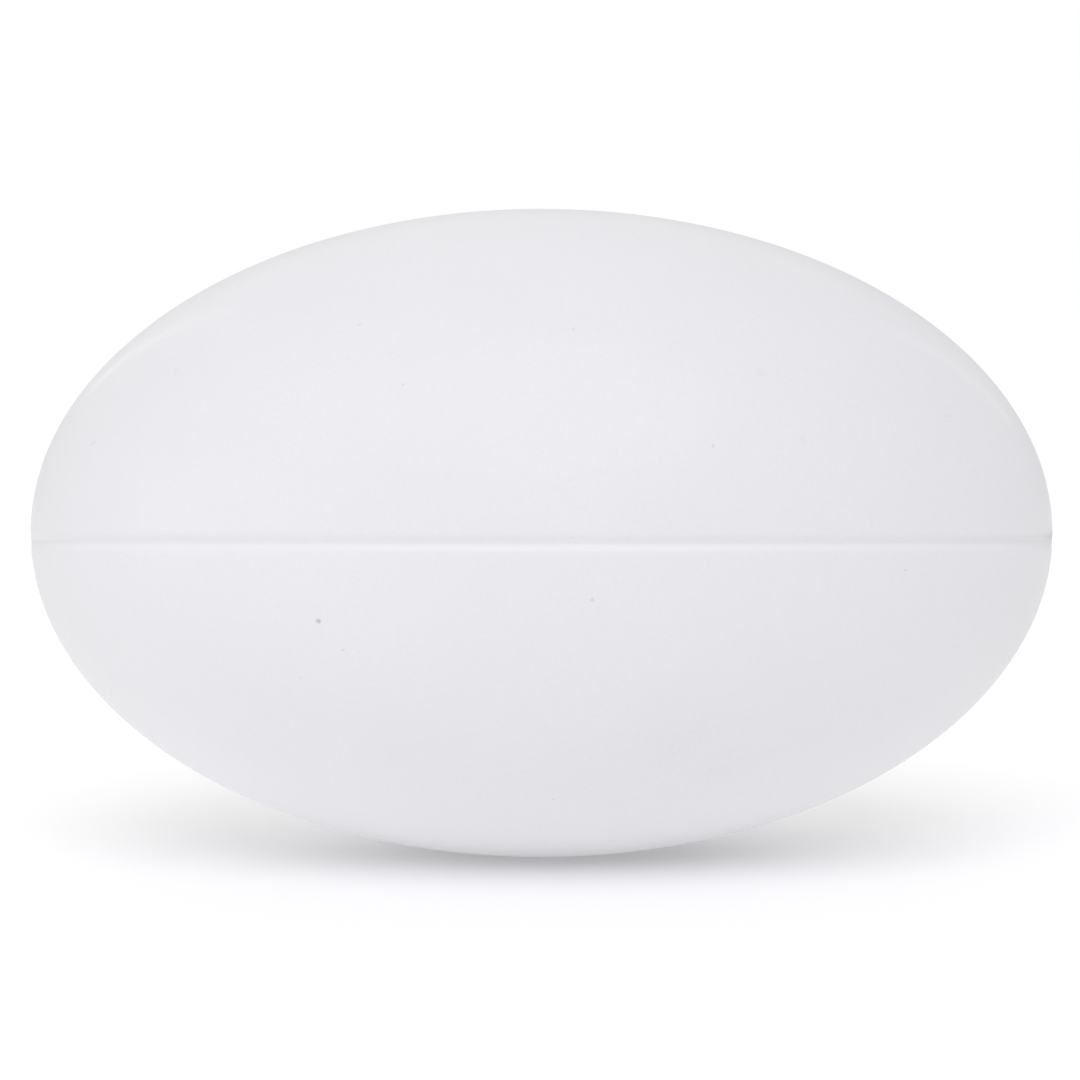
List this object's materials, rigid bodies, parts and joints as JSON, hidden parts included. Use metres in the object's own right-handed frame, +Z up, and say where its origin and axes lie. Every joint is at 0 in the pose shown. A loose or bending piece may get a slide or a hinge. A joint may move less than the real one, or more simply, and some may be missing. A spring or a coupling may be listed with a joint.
{
  "type": "rugby ball",
  "caption": "Small moulded foam rugby ball with a white painted surface, a dense skin, a soft foam core and seam grooves that run from tip to tip.",
  "frame": {"origin": "centre of the ball", "axes": "+X along the long axis from tip to tip, +Z up with the ball lying on its side, +Y away from the viewer"},
  "size_m": [0.0948, 0.0602, 0.0602],
  "materials": {
    "white_paint": "satin white elastic paint with a very fine orange-peel texture",
    "dense_skin": "smooth dense polyurethane skin, off-white",
    "open_foam": "soft open-cell polyurethane foam, cream"
  },
  "bodies": {
    "root": {"coat_upper": "white_paint", "coat_lower": "white_paint", "skin_upper": "dense_skin", "skin_lower": "dense_skin", "foam_core": "open_foam"}
  },
  "joints": []
}
